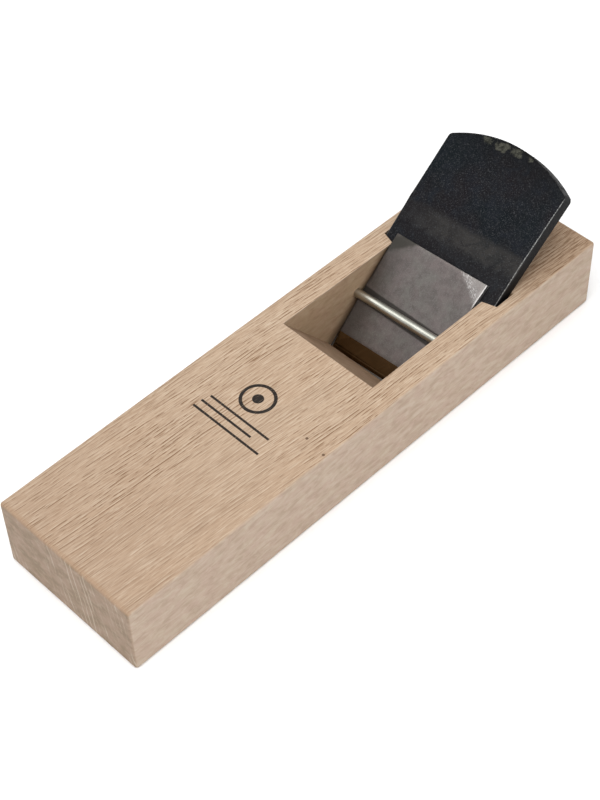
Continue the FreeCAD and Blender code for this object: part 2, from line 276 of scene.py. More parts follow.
def rows_of_rays(s, grain, pitch, length, seed):
    """Rays in wavering rows along the grain, broken into dashes, and the pale wood beside them."""
    x, across, z = s.split(grain)
    place = s.math("DIVIDE", s.math("ADD", across, seed), pitch)
    row = s.math("FLOOR", place)
    height = s.math("DIVIDE", z, RAY_HEIGHT)
    waver = s.noise(s.join(s.math("DIVIDE", x, WAVER_LENGTH), s.times(row, 3.71), height), detail=1.0)
    offset = s.math("SUBTRACT", s.math("FRACT", place), s.math("MULTIPLY_ADD", waver, 0.5, 0.25))
    own_part = s.join(s.math("DIVIDE", x, length), s.math("MULTIPLY_ADD", row, 7.31, seed), height)
    presence = s.remap(s.noise(own_part, detail=2.0, roughness=0.55), 0.44, 0.61)
    width = s.math("MULTIPLY_ADD", presence, 0.12, 0.08)
    line = s.remap(s.math("DIVIDE", s.math("ABSOLUTE", offset), width), 1.0, 0.35)
    dash = s.times(line, s.math("MULTIPLY_ADD", presence, 0.78, 0.22))
    beside = s.remap(s.math("ABSOLUTE", s.math("SUBTRACT", offset, 0.33)), 0.2, 0.0)
    return dash, s.times(beside, s.math("MULTIPLY_ADD", presence, 0.7, 0.3))


def ray_patterns(s, x, y, z, turned):
    """Rays, as dashes on the top and flakes on the sides, the wood beside them, and the lines on the ends."""
    leaning = s.join(x, s.math("MULTIPLY_ADD", z, RAY_LEAN, turned), z)
    patchy = s.noise(s.spread(s.place, 70.0, 14.0, 40.0, (0.4, 3.3, 0.0)), detail=2.0)
    soft_corner = s.times(s.remap(x, -15.0, -60.0), s.remap(turned, 4.0, -16.0))
    soft_corner = s.math("MULTIPLY_ADD", soft_corner, -0.55, 1.0)
    rows, beside = rows_of_rays(s, leaning, *TOP_ROWS)
    fine_rows, _ = rows_of_rays(s, leaning, *FINE_ROWS)
    ray = s.math("MAXIMUM", rows, s.times(fine_rows, 0.55))
    scattered = scattered_rays(s, leaning, SCATTER_LENGTHS, SCATTER_SIZES, SCATTER_STRENGTHS)
    ray = s.math("MAXIMUM", ray, scattered)
    ray = s.times(ray, s.remap(patchy, 0.3, 0.6, 0.5, 1.0), soft_corner)

    upright = s.join(z, s.math("MULTIPLY_ADD", z, END_RAY_LEAN, y), x)
    end_ray, _ = rows_of_rays(s, upright, *END_ROWS)
    return ray, beside, s.times(end_ray, s.remap(patchy, 0.42, 0.56, 0.15, 1.0))


def throat_tint(s):
    """How far a place is inside the throat, and its colour there: a browner tint partly in painted shade,
    painted shade on the front wall, and the deepest painted shade beside the blade's face.
    """
    x, y, z = s.split(s.place)
    facing, _, _ = s.split(s.normal)
    _, _, above_blade = in_frame(s, FACE)
    inside = s.times(
        s.remap(x, *THROAT_FRONT),
        s.remap(s.math("ABSOLUTE", y), *THROAT_SIDE),
        s.remap(x, *THROAT_BACK),
        s.remap(z, *BELOW_TOP),
        s.remap(z, *ABOVE_SOLE),
    )
    # Painted shade on the front wall, and deepest on the walls just above the blade's face.
    front_wall = s.remap(facing, 0.4, 0.7)
    wear_and_painted_shade = s.times(s.remap(above_blade, 6.5, 1.8), s.math("SUBTRACT", 1.0, front_wall), 0.8)
    return inside, s.mix(wear_and_painted_shade, s.mix(front_wall, THROAT_SHADE, FRONT_WALL_SHADE), BLADE_GAP_SHADE)


def ink_mark(s, x, y, z):
    """A plain printed ring and dot over three plain lines."""
    from_centre = s.away(x, y, INK_RING)
    shape = s.remap(s.math("ABSOLUTE", s.math("SUBTRACT", from_centre, INK_RING_RADIUS)), *INK_RING_EDGE)
    shape = s.math("MAXIMUM", shape, s.remap(from_centre, *INK_DOT_EDGE))
    for line_x, high, low in INK_LINES:
        middle, half = (high + low) / 2.0, (high - low) / 2.0
        across = s.remap(s.math("ABSOLUTE", s.math("SUBTRACT", x, line_x)), *INK_LINE_EDGE)
        along = s.remap(s.math("ABSOLUTE", s.math("SUBTRACT", y, middle)), half, half - 0.15)
        shape = s.math("MAXIMUM", shape, s.times(across, along))
    return s.times(shape, s.remap(z, *AT_TOP))


def make_oak():
    s = Shader("oak")
    own_x, own_y, own_z = s.split(s.place)
    wander = s.noise(s.spread(s.place, 85.0, 24.0, 24.0), detail=2.0, colour=True)
    wander = s.vector("MULTIPLY", s.vector("SUBTRACT", wander, (0.5, 0.5, 0.5)), (0.0, 4.0, 4.0))
    x, y, z = s.split(s.vector("ADD", s.place, wander))
    turned = s.math("MULTIPLY_ADD", x, GRAIN_TURN, y)
    grain = s.join(x, turned, z)
    normal_x, normal_y, normal_z = s.split(s.normal)
    end_face = s.remap(s.math("ABSOLUTE", normal_x), 0.35, 0.95)
    side_face = s.remap(s.math("ABSOLUTE", normal_y), 0.4, 0.95)
    upright_face = s.math("MAXIMUM", side_face, end_face)
    flat = s.math("SUBTRACT", 1.0, upright_face)

    from_pith = s.join(0.0, s.math("SUBTRACT", turned, PITH_ACROSS), s.math("ADD", z, PITH_DEPTH))
    ring = s.math("FRACT", s.math("DIVIDE", s.vector("LENGTH", from_pith), RING_WIDTH))
    early = s.times(s.remap(ring, 0.0, 0.12), s.remap(ring, 0.55, 0.2))

    ray, beside, end_ray = ray_patterns(s, x, y, z, turned)

    # Pores, fibres and streaks along the grain, then patterns without a direction.
    pore_reach, _ = s.cells(s.spread(grain, 8.0, 0.34, 0.34))
    pore = s.times(s.remap(pore_reach, 0.42, 0.2), s.math("MULTIPLY_ADD", early, 0.6, 0.3))
    fibre = s.noise(s.spread(grain, 7.0, 0.36, 0.36), detail=3.0, roughness=0.65)
    streak = s.noise(s.spread(grain, 60.0, 2.0, 2.0), detail=3.0, roughness=0.55)
    coarse = s.noise(s.spread(grain, 6.5, 0.75, 0.75, (2.2, 0.4, 6.1)), detail=2.0, roughness=0.6)
    cloud = s.noise(s.spread(s.place, 45.0, 22.0, 30.0, (7.1, 2.2, 4.4)), detail=2.0)
    tint = s.noise(s.spread(s.place, 8.0, 8.0, 5.0, (3.1, 0.2, 5.3)), detail=4.0, roughness=0.6)
    blotches = s.spread(s.place, 5.6, 3.2, 2.0, (1.5, 8.2, 0.3))
    blotch = s.noise(blotches, detail=4.0, roughness=0.62, distortion=0.5)
    blotchy = s.math("MULTIPLY_ADD", end_face, -0.12, s.times(upright_face, 0.34))

    colour = s.mix(cloud, OAK_WARM, OAK_PALE)
    for amount, paint in (
        (s.times(s.remap(streak, 0.3, 0.7), 0.4), STREAK),
        (s.times(early, 0.18), EARLY_WOOD),
        (s.times(s.remap(fibre, 0.5, 0.66), 0.5), FIBRE_PALE),
        (s.times(s.remap(fibre, 0.49, 0.34), 0.45), FIBRE_DARK),
        (s.times(beside, flat, 0.38), BESIDE_RAY),
        (s.times(pore, 0.3), PORE),
        (s.times(side_face, 0.85), SIDE_WOOD),
        (s.times(end_face, 0.88), END_WOOD),
        (s.times(upright_face, s.remap(tint, 0.35, 0.65), 0.5), PINKER),
        (s.times(s.remap(blotch, 0.5, 0.64), blotchy), BLOTCH_PALE),
        (s.times(s.remap(blotch, 0.5, 0.36), blotchy), BLOTCH_DARK),
    ):
        colour = s.mix(amount, colour, paint)
    colour = s.mix(end_face, colour, END_SHADE, "MULTIPLY")
    for amount, paint in (
        (s.times(ray, flat, 0.9), TOP_RAY),
        (s.times(end_ray, end_face, 0.5), END_RAY),
        (s.times(ray, side_face, 0.15), SIDE_FLAKE),
    ):
        colour = s.mix(amount, colour, paint)

    # The top is darker and warmer at its front and lighter at its back, a painted gradient of shade and
    # light. Its back right corner has coarse brown marks.
    # Painted shade at the top's front, painted light at its back.
    painted_light_along_top = s.mix(s.remap(x, -130.0, 20.0), TOP_FRONT_SHADE, TOP_BACK_LIGHT)
    colour = s.mix(flat, colour, painted_light_along_top, "MULTIPLY")
    colour = s.mix(s.times(side_face, s.remap(x, 50.0, 125.0)), colour, SIDE_BACK, "MULTIPLY")
    back_right = s.times(flat, s.remap(x, 68.0, 92.0), s.remap(turned, 4.0, -18.0))
    marked = s.mix(s.times(s.remap(coarse, 0.46, 0.60), 0.75), BACK_RIGHT, BACK_RIGHT_MARK)
    colour = s.mix(back_right, colour, marked, "MULTIPLY")

    # The arrises at the ends have gone warmer and browner with handling.
    arris = s.times(s.remap(s.math("ABSOLUTE", x), *AT_ARRIS), s.remap(normal_z, 0.1, 0.4))
    colour = s.mix(s.times(arris, s.remap(fibre, 0.35, 0.65, 0.15, 0.65)), colour, HANDLED)

    # Painted shade and a browner tint inside the throat.
    inside, throat_shade = throat_tint(s)
    colour = s.mix(inside, colour, throat_shade, "MULTIPLY")
    for place in PIN_KNOTS:
        knot = s.times(s.remap(s.away(own_x, own_y, place), *KNOT_EDGE), s.remap(own_z, *AT_KNOT), 0.85)
        colour = s.mix(knot, colour, KNOT)
    ink = s.times(ink_mark(s, own_x, own_y, own_z), s.remap(fibre, 0.30, 0.42, 0.55, 0.97))
    colour = s.mix(ink, colour, INK)

    relief = s.math("MULTIPLY_ADD", fibre, 0.6, s.times(ray, flat, -0.6))
    relief = s.math("MULTIPLY_ADD", pore, -0.4, relief)
    return s.finish(
        Base_Color=colour,
        Roughness=s.math("MULTIPLY_ADD", ray, -0.12, s.math("MULTIPLY_ADD", fibre, 0.16, 0.58)),
        Specular_IOR_Level=0.2,
        Normal=s.bump(relief, 0.05, 0.8),
    )


# ---------------------------------------------------------------------------
# Metals
# ---------------------------------------------------------------------------

# Hammer marks at the head: each one's place up the blade and across it, and its size.
HAMMER_BLOWS = (
    (99.6, 12.4, 2.3),
    (99.9, 6.0, 2.9),
    (101.4, 3.6, 1.6),
    (101.1, -1.2, 2.6),
    (101.5, -7.6, 1.3),
)
MARK_WIDER = 1.5

# The blade's half width at its edge and its growth, the browned band, and the end of the bare face.
SIDE_AT_EDGE, SIDE_SLOPE = 27.46, 0.0068
BAND_SKEW, BAND_END, BAND_AT_CHIP = 0.055, (68.8, 65.6), (57.0, 61.5)
BARE_BELOW = 48.0

SCALE_BLUE, SCALE_VIOLET = (0.0024, 0.0050, 0.0070), (0.0062, 0.0052, 0.0066)
SCALE_MOTTLE = (0.0070, 0.009, 0.0130)
BROWNED, SCALE_SPECK, SCALE_GRIT = (0.030, 0.0280, 0.0265), (0.026, 0.027, 0.030), (0.062, 0.064, 0.067)
BLADE_SIDE_SHADE, WORN_BARE = (0.0012, 0.0012, 0.0014), (0.26, 0.26, 0.25)
STRUCK_DARK, STRUCK_BRASSY = (0.034, 0.034, 0.026), (0.095, 0.094, 0.074)
GROUND_DARK, GROUND_PALE = (0.30, 0.29, 0.28), (0.46, 0.45, 0.44)

CHIP_WARM, CHIP_GREY, CHIP_MOTTLE = (0.196, 0.166, 0.160), (0.186, 0.176, 0.162), (0.132, 0.116, 0.111)
CHIP_BRUSHED, CHIP_GRIT, CHIP_LEFT_SHADE = (0.245, 0.225, 0.217), (0.290, 0.268, 0.260), (0.070, 0.062, 0.056)
LEFT_CORNER_DARK, BENT_CORNER, RUBBED_AND_HIGHLIGHT = (0.052, 0.050, 0.043), (0.180, 0.172, 0.165), (0.47, 0.46, 0.45)
PIN_SHADOW, POLISHED_BEVEL_REFLECTION = (0.022, 0.020, 0.017), (0.215, 0.157, 0.090)
PIN_GREY, PIN_PALE, PIN_END_DARK = (0.50, 0.50, 0.44), (0.62, 0.62, 0.56), (0.27, 0.23, 0.18)


def hammer_marks(s, up, across, broken):
    """Ragged marks, wider across the blade than up it."""
    struck = 0.0
    for blow_up, blow_across, size in HAMMER_BLOWS:
        reach = s.away(s.times(up, MARK_WIDER), across, (MARK_WIDER * blow_up, blow_across))
        ragged = s.math("MULTIPLY_ADD", broken, -4.2, reach)
        struck = s.math("MAXIMUM", struck, s.remap(ragged, size - 1.8, size - 3.0))
    return struck


def make_forge_scale(name, bare_below=None):
    """Blue-black scale on the blade. With bare_below, the face is ground steel nearer the edge than that."""
    s = Shader(name)
    up, across, out = in_frame(s, FACE)
    grit = s.noise(s.spread(s.place, 0.42, 0.42, 0.42), detail=2.0, roughness=0.7)
    speck = s.noise(s.spread(s.place, 0.9, 0.9, 0.9, (4.0, 2.0, 9.0)), detail=3.0, roughness=0.75)
    mottle = s.noise(s.spread(s.place, 5.5, 5.5, 5.5), detail=5.0, roughness=0.65, distortion=0.5)
    cloud = s.noise(s.spread(s.place, 22.0, 22.0, 22.0, (3.0, 1.0, 7.0)), detail=2.0)
    colour = s.mix(s.remap(cloud, 0.38, 0.62), SCALE_BLUE, SCALE_VIOLET)
    colour = s.mix(s.remap(mottle, 0.42, 0.72), colour, SCALE_MOTTLE)

    # A band above the chipbreaker, ground once and browned since.
    skewed = s.math("MULTIPLY_ADD", across, BAND_SKEW, up)
    wavy = s.math("MULTIPLY_ADD", s.math("SUBTRACT", mottle, 0.5), 6.0, skewed)
    band = s.remap(wavy, *BAND_END)
    near_chip = s.remap(wavy, *BAND_AT_CHIP, 0.22, 1.0)
    patches = s.times(s.remap(mottle, 0.35, 0.62, 0.45, 1.0), s.remap(across, 26.0, 8.0, 0.35, 1.0))
    colour = s.mix(s.times(band, patches, near_chip), colour, BROWNED)
    colour = s.mix(s.times(s.remap(speck, 0.52, 0.70), 0.75), colour, SCALE_SPECK)
    colour = s.mix(s.times(s.remap(grit, 0.55, 0.70), 0.65), colour, SCALE_GRIT)

    # Metal worn bare at the arrises and, in a few brassy patches, by the hammer at the head.
    top_level = s.times(s.math("MAXIMUM", s.math("SUBTRACT", up, BEND_AT), 0.0), -math.tan(WEDGE))
    on_face = s.remap(s.math("SUBTRACT", out, top_level), -0.75, -0.25)
    half_width = s.math("MULTIPLY_ADD", up, SIDE_SLOPE, SIDE_AT_EDGE)
    to_side = s.math("SUBTRACT", half_width, s.math("ABSOLUTE", across))
    to_head = s.math("SUBTRACT", HEAD_RADIUS, s.away(up, across, HEAD_CENTRE))
    broken = s.noise(s.spread(s.place, 1.6, 1.6, 1.6, (2.0, 6.0, 3.0)), detail=4.0, roughness=0.7)
    right = s.remap(across, 20.0, -20.0, 0.3, 1.0)
    side_wear = s.times(s.remap(s.math("MULTIPLY_ADD", broken, -0.6, to_side), 0.0, -0.16), right)
    head_wear = s.times(s.remap(s.math("MULTIPLY_ADD", broken, -0.9, to_head), 0.0, -0.3), 0.2)
    side_wear = s.times(side_wear, s.remap(speck, 0.42, 0.58, 0.35, 1.0))
    wear = s.times(s.math("MAXIMUM", side_wear, head_wear), on_face)
    struck = s.times(hammer_marks(s, up, across, broken), on_face, s.remap(grit, 0.35, 0.55, 0.45, 1.0))
    # Painted shade on the blade's sides, deeper further up the blade.
    sides = s.times(s.remap(out, -0.9, -2.0), s.remap(up, 40.0, 50.0, 0.2, 0.9))
    colour = s.mix(sides, colour, BLADE_SIDE_SHADE)
    brassy = s.mix(s.remap(broken, 0.4, 0.6), STRUCK_DARK, STRUCK_BRASSY)
    colour = s.mix(s.times(struck, 0.7), colour, brassy)
    colour = s.mix(wear, colour, WORN_BARE)
    roughness = s.math("MULTIPLY_ADD", wear, -0.15, s.math("MULTIPLY_ADD", mottle, 0.2, 0.42))
    metallic = s.times(s.math("MAXIMUM", wear, struck), 0.6)
    relief = s.math("MULTIPLY_ADD", mottle, 1.8, s.math("MULTIPLY_ADD", speck, 1.0, grit))
    if bare_below:
        brushed = s.noise(s.spread(s.join(up, across, out), 6.0, 0.12, 1.0), detail=3.0)
        bare = s.remap(s.math("MULTIPLY_ADD", mottle, 3.0, up), bare_below + 1.0, bare_below - 1.0)
        colour = s.mix(bare, colour, s.mix(brushed, GROUND_DARK, GROUND_PALE))
        roughness = s.math("MULTIPLY_ADD", bare, -0.22, roughness)
        metallic = s.math("MAXIMUM", metallic, bare)
        relief = s.times(relief, s.math("SUBTRACT", 1.0, bare))
    return s.finish(
        Base_Color=colour,
        Metallic=metallic,
        Roughness=roughness,
        Specular_IOR_Level=0.08,
        Normal=s.bump(relief, 0.05, 0.7),
    )


def past_fold(s, fold, up, across):
    """Distance beyond a bent corner's fold, and along it, as sockets."""
    (start_u, start_v), (end_u, end_v), turn = fold
    along = Vector((end_u - start_u, end_v - start_v)).normalized()
    offset = s.join(s.math("SUBTRACT", up, start_u), s.math("SUBTRACT", across, start_v), 0.0)
    past = s.vector("DOT_PRODUCT", offset, (turn * along.y, -turn * along.x, 0.0))
    return past, s.vector("DOT_PRODUCT", offset, (along.x, along.y, 0.0))


def make_chip_steel():
    """Dull ground steel, with a polished bevel at the edge whose brown colour is a painted reflection of the
    wood.
    """
    s = Shader("chipbreaker_iron")
    up, across, out = in_frame(s, CHIP)
    mottle = s.noise(s.spread(s.place, 3.2, 3.2, 3.2), detail=4.0, roughness=0.65)
    tint = s.noise(s.spread(s.place, 7.0, 7.0, 7.0, (5.0, 1.0, 2.0)), detail=3.0)
    grit = s.noise(s.spread(s.place, 0.4, 0.4, 0.4), detail=2.0, roughness=0.7)
    brushed = s.noise(s.spread(s.join(up, across, out), 7.0, 0.2, 1.0), detail=3.0)
    colour = s.mix(s.remap(tint, 0.35, 0.65), CHIP_WARM, CHIP_GREY)
    colour = s.mix(s.times(s.remap(mottle, 0.36, 0.66), 0.75), colour, CHIP_MOTTLE)
    colour = s.mix(s.times(s.remap(brushed, 0.5, 0.7), 0.3), colour, CHIP_BRUSHED)
    colour = s.mix(s.times(s.remap(grit, 0.5, 0.66), 0.5), colour, CHIP_GRIT)
    # Painted shade, deepening towards the left side.
    colour = s.mix(s.times(s.remap(across, 6.0, 20.0), 0.6), colour, CHIP_LEFT_SHADE)

    # The left corner is darkened. The right one is worn bright by rubbing along its fold, and has a painted
    # highlight along its side.
    left_past, _ = past_fold(s, FOLDS[0], up, across)
    left_corner_dark = s.remap(s.math("MULTIPLY_ADD", mottle, 2.0, left_past), 0.3, 2.2)
    colour = s.mix(s.times(left_corner_dark, s.remap(left_past, 7.2, 4.5), 0.8), colour, LEFT_CORNER_DARK)
    right_past, right_along = past_fold(s, FOLDS[1], up, across)
    scratches = s.spread(s.join(right_along, right_past, 0.0), 1.3, 0.3, 1.0, (3.0, 1.0, 0.0))
    scratch = s.noise(scratches, detail=3.0, roughness=0.7)
    wear_and_painted_shade = s.times(s.remap(right_past, -1.2, 0.3), s.remap(right_past, 3.6, 1.4, 0.12, 1.0))
    wear_and_painted_shade = s.times(wear_and_painted_shade, s.remap(scratch, 0.50, 0.62))
    # A painted highlight along the right side of the bent corner.
    side = s.math("ADD", s.math("MULTIPLY_ADD", up, CHIP_RIGHT_SPREAD / CHIP_LENGTH, CHIP_HALF), across)
    painted_side_highlight = s.times(s.remap(side, 0.55, 0.2), s.remap(up, 40.0, 43.0))
    bright = s.math("MAXIMUM", wear_and_painted_shade, painted_side_highlight)
    colour = s.mix(s.times(s.remap(right_past, -0.3, 0.6), 0.4), colour, BENT_CORNER)
    colour = s.mix(s.times(bright, 0.75), colour, RUBBED_AND_HIGHLIGHT)

    # Painted shadow: a dark strip under the pin, a little wider than it.
    own_x, _, own_z = s.split(s.place)
    from_pin = s.away(own_x, own_z, PIN_PLACE)
    from_pin = s.math("MULTIPLY_ADD", s.math("SUBTRACT", mottle, 0.5), 0.6, from_pin)
    painted_pin_shadow = s.remap(from_pin, PIN_RADIUS + 1.15, PIN_RADIUS + 0.6)
    colour = s.mix(s.times(painted_pin_shadow, 0.75), colour, PIN_SHADOW)

    # The polished bevel is less rough, and its brown colour is a painted reflection of the throat's wood.
    bevel = s.remap(up, CHIP_BEVEL + 0.05, CHIP_BEVEL - 0.05)
    colour = s.mix(bevel, colour, POLISHED_BEVEL_REFLECTION)
    roughness = s.math("MULTIPLY_ADD", bevel, -0.32, s.math("MULTIPLY_ADD", grit, 0.14, 0.40))
    relief = s.math("MULTIPLY_ADD", scratch, s.times(wear_and_painted_shade, 2.0), grit)
    relief = s.times(relief, s.math("SUBTRACT", 1.0, bevel))
    return s.finish(Base_Color=colour, Metallic=1.0, Roughness=roughness, Normal=s.bump(relief, 0.02, 0.5))


def make_pin_steel():
    s = Shader("pin_steel")
    drawn = s.noise(s.spread(s.place, 0.3, 22.0, 0.3), detail=3.0)
    pin_blotch = s.noise(s.spread(s.place, 2.0, 6.0, 2.0), detail=3.0)
    _, across, _ = s.split(s.place)
    # Darker and browner towards both ends, where the pin meets the walls.
    at_wall = s.remap(s.math("MULTIPLY_ADD", pin_blotch, 6.0, s.math("ABSOLUTE", across)), 21.0, 27.0)
    colour = s.mix(s.remap(pin_blotch, 0.35, 0.7), PIN_GREY, PIN_PALE)
    colour = s.mix(s.times(at_wall, 0.6), colour, PIN_END_DARK)
    return s.finish(
        Base_Color=colour,
        Metallic=1.0,
        Roughness=s.math("MULTIPLY_ADD", drawn, 0.12, 0.24),
        Normal=s.bump(drawn, 0.006, 0.4),
    )


# ---------------------------------------------------------------------------
# Meshes
# ---------------------------------------------------------------------------

# The grid's step on the blade and on the chipbreaker, and the angles from which an edge is drawn sharp.
BLADE_STEP, CHIP_STEP = 1.6, 0.9
SHARP, CHIP_SHARP = math.radians(40.0), math.radians(14.0)

# Widths of the rings of vertices along a plate's rim, from the outside in.
BACK_RINGS, FACE_RINGS = (0.04, 0.08, 0.12, 0.16, 0.2), (0.04, 0.06, 0.1)
CHIP_RINGS, CHIP_STEEL_RINGS = (0.04, 0.06, 0.1, 0.15), (0.04, 0.06)

# The block's edges that are eased, and how much.
CUT_EDGE_ANGLE, CUT_EDGE_LENGTH, CUT_EDGE_ROUND = math.radians(25.0), 1.2 * MM, 0.22 * MM


def finish_piece(name, bm, body, material, replaced, sharp=SHARP):
    """Makes a piece of the mesh. It rides with its body and stands for the CAD nodes that it replaces."""
    bm.normal_update()
    mesh = bpy.data.meshes.new(name)
    bm.to_mesh(mesh)
    bm.free()
    mesh.shade_smooth()
    mesh.set_sharp_from_angle(angle=sharp)
    piece = bpy.data.objects.new(name, mesh)
    bpy.context.scene.collection.objects.link(piece)
    mesh.materials.append(material)
    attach(piece, body)
    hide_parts(*replaced)
    return piece


def wood_body(material):
    """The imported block, with its cut edges eased."""
    bm = bmesh.new()
    bm.from_mesh(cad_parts["body_block"].data)
    bmesh.ops.remove_doubles(bm, verts=bm.verts, dist=1e-6)
    bmesh.ops.dissolve_limit(bm, angle_limit=math.radians(0.5), verts=bm.verts, edges=bm.edges)
    arrises = [edge for edge in bm.edges if edge.is_manifold and edge.is_convex]
    arrises = [edge for edge in arrises if edge.calc_face_angle() > CUT_EDGE_ANGLE]
    cut_edges = [edge for edge in arrises if edge.calc_length() > CUT_EDGE_LENGTH]
    bmesh.ops.bevel(
        bm,
        geom=cut_edges,
        offset=CUT_EDGE_ROUND,
        segments=2,
        profile=0.5,
        affect="EDGES",
        clamp_overlap=True,
    )
    piece = finish_piece("oak_body", bm, "body", material, ["body_block"])
    even = piece.modifiers.new("even_normals", "WEIGHTED_NORMAL")
    even.keep_sharp = True
    return piece


def sheet(outline, rings, step):
    """A flat face inside a convex outline, with rings of vertices along its rim and a grid of cuts across."""
    bm = bmesh.new()
    inner = bm.faces.new([bm.verts.new((u, v, 0.0)) for u, v in outline])
    for width in rings:
        bmesh.ops.inset_region(bm, faces=[inner], thickness=width, use_even_offset=True)
    for axis in (0, 1):
        low = min(corner[axis] for corner in outline)
        high = max(corner[axis] for corner in outline)
        count = int((high - low) / step)
        direction = Vector((1.0 - axis, float(axis), 0.0))
        for cut in range(1, count):
            bmesh.ops.bisect_plane(
                bm,
                geom=bm.verts[:] + bm.edges[:] + bm.faces[:],
                plane_co=direction * (low + (high - low) * cut / count),
                plane_no=direction,
            )
    return bm


def rim_distance(outline, place):
    """How far a place is inside a convex anticlockwise outline."""
    nearest = 1e9
    for start, end in zip(outline, outline[1:] + outline[:1]):
        along = Vector((end[0] - start[0], end[1] - start[1]))
        if along.length < 1e-6:
            continue
        along.normalize()
        nearest = min(nearest, along.x * (place[1] - start[1]) - along.y * (place[0] - start[0]))
    return max(nearest, 0.0)


def rounding(distance, radius):
    """Drop of a surface at a distance from its rounded rim."""
    if radius <= 0.0 or distance >= radius:
        return 0.0
    return radius - math.sqrt(max(radius**2 - (radius - distance) ** 2, 0.0))


def plate(outline, top, bottom, rounds, rings, step):
    """A closed plate between two height functions of (u, v), its upper and lower rims rounded."""
    upper = sheet(outline, rings, step)
    upper.verts.ensure_lookup_table()
    places = [vert.co.copy() for vert in upper.verts]
    faces = [[vert.index for vert in face.verts] for face in upper.faces]
    rim = [[vert.index for vert in edge.verts] for edge in upper.edges if edge.is_boundary]
    upper.free()

    bm = bmesh.new()
    levels = []
    for height, turn, rim_round in ((top, 1.0, rounds[0]), (bottom, -1.0, rounds[1])):
        verts = []
        for place in places:
            inside = rim_distance(outline, place)
            eased = rounding(inside, rim_round(place.x, place.y))
            verts.append(bm.verts.new((place.x, place.y, height(place.x, place.y) - turn * eased)))
        levels.append(verts)
    for face in faces:
        bm.faces.new([levels[0][index] for index in face])
        bm.faces.new([levels[1][index] for index in reversed(face)])
    for first, second in rim:
        bm.faces.new([levels[0][first], levels[0][second], levels[1][second], levels[1][first]])
    bmesh.ops.remove_doubles(bm, verts=bm.verts, dist=1e-4)
    bmesh.ops.recalc_face_normals(bm, faces=bm.faces)
    return bm


def level(u, v):
    """Stands for a height or a rounding that is nought everywhere."""
    return 0.0


def arc(centre, radius, start, end, count):
    """Points of an anticlockwise arc from start to end, both included."""
    first = math.atan2(start[1] - centre[1], start[0] - centre[0])
    last = math.atan2(end[1] - centre[1], end[0] - centre[0])
    return [
        (centre[0] + radius * math.cos(angle), centre[1] + radius * math.sin(angle))
        for angle in (first + (last - first) * step / count for step in range(count + 1))
    ]


def blade_back(u, v):
    """The bevel at the edge, then the back, which widens the wedge."""
    return -min(u * math.tan(BEVEL), BACK_TIP + u * math.tan(WEDGE))


def weld(u, v):
    """The level where the blade's hard layer meets its iron back."""
    return -STEEL_THICK * (1.0 - ramp(STEEL_THINS, BEND_AT, u))


def blade_iron(material):
    head = arc(HEAD_CENTRE, HEAD_RADIUS, HEAD_RIGHT, HEAD_LEFT, 64)
    right_corner, left_corner = HEAD_CORNERS
    outline = [
        (WELD, WELD_HALF),
        (WELD, -WELD_HALF),
        (EAR_CUT, -HALF_TIP),
        *right_corner,
        *head[1:-1],
        *left_corner,
        (EAR_CUT, HALF_TIP),
    ]

    def top(u, v):
        if u <= BEND_AT:
            return weld(u, v)
        forged = 0.05 + 0.05 * lump((u, v, 0.0), 9.0, 2.0)
        return -(u - BEND_AT) * math.tan(WEDGE) - forged * smooth(BEND_AT, BEND_AT + 6.0, u)

    def top_round(u, v):
        at_head = smooth(90.0, 100.0, u)
        return smooth(BEND_AT, BEND_AT + 3.0, u) * (0.22 + at_head * (0.32 + 0.18 * lump((u, v, 5.0), 3.5)))

    def bottom_round(u, v):
        return 0.3 * smooth(5.0, 12.0, u)

    bm = plate(outline, top, blade_back, (top_round, bottom_round), BACK_RINGS, BLADE_STEP)
    bm.transform(TO_METRES @ FACE)
    return finish_piece("forged_blade", bm, "blade", material, ["blade_iron"])


def blade_steel(material):
    outline = [
        (0.0, EDGE_HALF),
        (0.0, -EDGE_HALF),
        (EAR_CUT, -HALF_TIP),
        (BEND_AT, -HALF_BEND),
        (BEND_AT, HALF_BEND),
        (EAR_CUT, HALF_TIP),
    ]
    right, left = (HOLLOW_SIDE, -HOLLOW_HALF), (HOLLOW_SIDE, HOLLOW_HALF)
    hollow_end = arc(HOLLOW_CENTRE, HOLLOW_RADIUS, right, left, 24)
    hollow_rim = [(HOLLOW_START, HOLLOW_HALF), (HOLLOW_START, -HOLLOW_HALF), *hollow_end]

    def top(u, v):
        if not HOLLOW_START < u < HOLLOW_END or abs(v) >= HOLLOW_HALF:
            return 0.0
        return -HOLLOW_DEPTH * smooth(0.0, 3.5, rim_distance(hollow_rim, (u, v)))

    def bottom(u, v):
        return max(weld(u, v), -u * math.tan(BEVEL))

    def top_round(u, v):
        return 0.18 * smooth(3.0, 8.0, u) * smooth(BEND_AT, BEND_AT - 4.0, u)

    bm = plate(outline, top, bottom, (top_round, level), FACE_RINGS, BLADE_STEP)
    bm.transform(TO_METRES @ FACE)
    return finish_piece("blade_hard_layer", bm, "blade", material, ["blade_steel"])


def corner_drop(u, v):
    """How far a bent corner lies under the plate's plane."""
    drop = 0.0
    for start, end, turn in FOLDS:
        along = Vector((end[0] - start[0], end[1] - start[1])).normalized()
        past = turn * -(along.x * (v - start[1]) - along.y * (u - start[0]))
        if past > -BEND_EASE:
            eased = (past + BEND_EASE) ** 2 / (4.0 * BEND_EASE) if past < BEND_EASE else past
            drop += eased * math.tan(CORNER_BEND)
    return drop


def chip_side(u):
    """The chipbreaker's right and left sides, at a distance from its edge."""
    right = -CHIP_HALF - CHIP_RIGHT_SPREAD * u / CHIP_LENGTH
    return right, CHIP_HALF + CHIP_LEFT_SPREAD * u / CHIP_LENGTH


def chip_weld(u):
    return CHIP_STEEL_THICK * (1.0 - ramp(CHIP_STEEL_THINS, CHIP_STEEL_LENGTH, u))


def chip_top(u):
    return min(CHIP_NOSE + (CHIP_THICK - CHIP_NOSE) * u / CHIP_BEVEL, CHIP_THICK)


